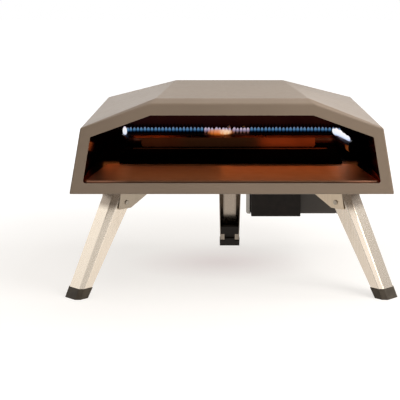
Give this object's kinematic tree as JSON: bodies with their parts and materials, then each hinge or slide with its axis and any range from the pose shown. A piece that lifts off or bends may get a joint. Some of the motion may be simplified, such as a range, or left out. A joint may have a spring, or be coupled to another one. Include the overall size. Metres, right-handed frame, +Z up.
{
  "type": "portable gas pizza oven",
  "caption": "Portable gas pizza oven with a folded painted hood over a wide mouth, a bent tube burner, a steel and stone baking floor, fold-away legs and a push-and-turn gas knob.",
  "frame": {"origin": "on the ground under the middle of the hood", "axes": "+Z up, -Y out of the mouth, +X to the right of someone facing the mouth"},
  "size_m": [0.6714, 0.58, 0.4068],
  "materials": {
    "taupe_coat": "satin powder coat",
    "grey_coat": "matt powder coat",
    "stainless": "brushed",
    "heated_steel": "heat-tinted",
    "dark_steel": "dull",
    "brass": "turned",
    "black_plastic": "fine texture",
    "cell_wrap": "printed sleeve left bare",
    "stone": "matt fired stone",
    "ceramic": "glazed",
    "wool": "felted ceramic wool"
  },
  "bodies": {
    "oven": {"hood_shell": "taupe_coat", "base_pan": "dark_steel", "inner_liner": "heated_steel", "insulation_blanket": "wool", "floor_tray": "dark_steel", "floor_insulation": "wool", "landing_plate": "heated_steel", "baking_stone": "stone", "stone_stop": "stainless", "burner_tube": "heated_steel", "burner_cap_left": "dark_steel", "burner_cap_right": "dark_steel", "burner_cradle_left": "dark_steel", "burner_cradle_right": "dark_steel", "burner_guard": "heated_steel", "mixing_tube": "stainless", "gas_jet": "brass", "igniter_insulator": "ceramic", "igniter_electrode": "stainless", "flame_probe": "brass", "control_housing": "grey_coat", "housing_bracket_left": "stainless", "housing_bracket_right": "stainless", "battery_box": "black_plastic", "battery_cell_1": "cell_wrap", "battery_cell_2": "cell_wrap", "valve_body": "brass", "gas_inlet": "brass", "gas_feed_pipe": "brass", "leg_bracket_front_left": "stainless", "leg_pin_front_left": "stainless", "leg_bracket_front_right": "stainless", "leg_pin_front_right": "stainless", "leg_bracket_rear": "stainless", "leg_pin_rear": "stainless"},
    "folding_leg_front_left": {"leg_front_left": "stainless", "foot_front_left": "black_plastic"},
    "folding_leg_front_right": {"leg_front_right": "stainless", "foot_front_right": "black_plastic"},
    "folding_leg_rear": {"leg_rear": "stainless", "foot_rear": "black_plastic"},
    "cover": {"battery_cover": "black_plastic"},
    "plunger": {"valve_plunger": "brass"},
    "knob": {"control_knob": "black_plastic", "valve_spindle": "stainless"}
  },
  "joints": [
    {"name": "leg_front_left_fold", "type": "hinge", "parent": "oven", "child": "folding_leg_front_left", "pos_m": [-0.233, -0.153, 0.1831], "axis": [0.7071, -0.7071, 0], "range_deg": [0, 117]},
    {"name": "leg_front_right_fold", "type": "hinge", "parent": "oven", "child": "folding_leg_front_right", "pos_m": [0.233, -0.153, 0.1831], "axis": [0.7071, 0.7071, 0], "range_deg": [0, 117]},
    {"name": "leg_rear_fold", "type": "hinge", "parent": "oven", "child": "folding_leg_rear", "pos_m": [0, 0.1232, 0.1831], "axis": [-1, 0, 0], "range_deg": [0, 117]},
    {"name": "battery_cover_slide", "type": "slide", "parent": "oven", "child": "cover", "axis": [1, 0, 0], "range_m": [0, 0.105]},
    {"name": "knob_push", "type": "slide", "parent": "oven", "child": "plunger", "axis": [0, -1, 0], "range_m": [0, 0.004], "stiffness_N_per_m": 2000},
    {"name": "knob_turn", "type": "hinge", "parent": "plunger", "child": "knob", "pos_m": [0.14, 0.26, 0.1536], "axis": [0, 1, 0], "range_deg": [0, 210]}
  ]
}
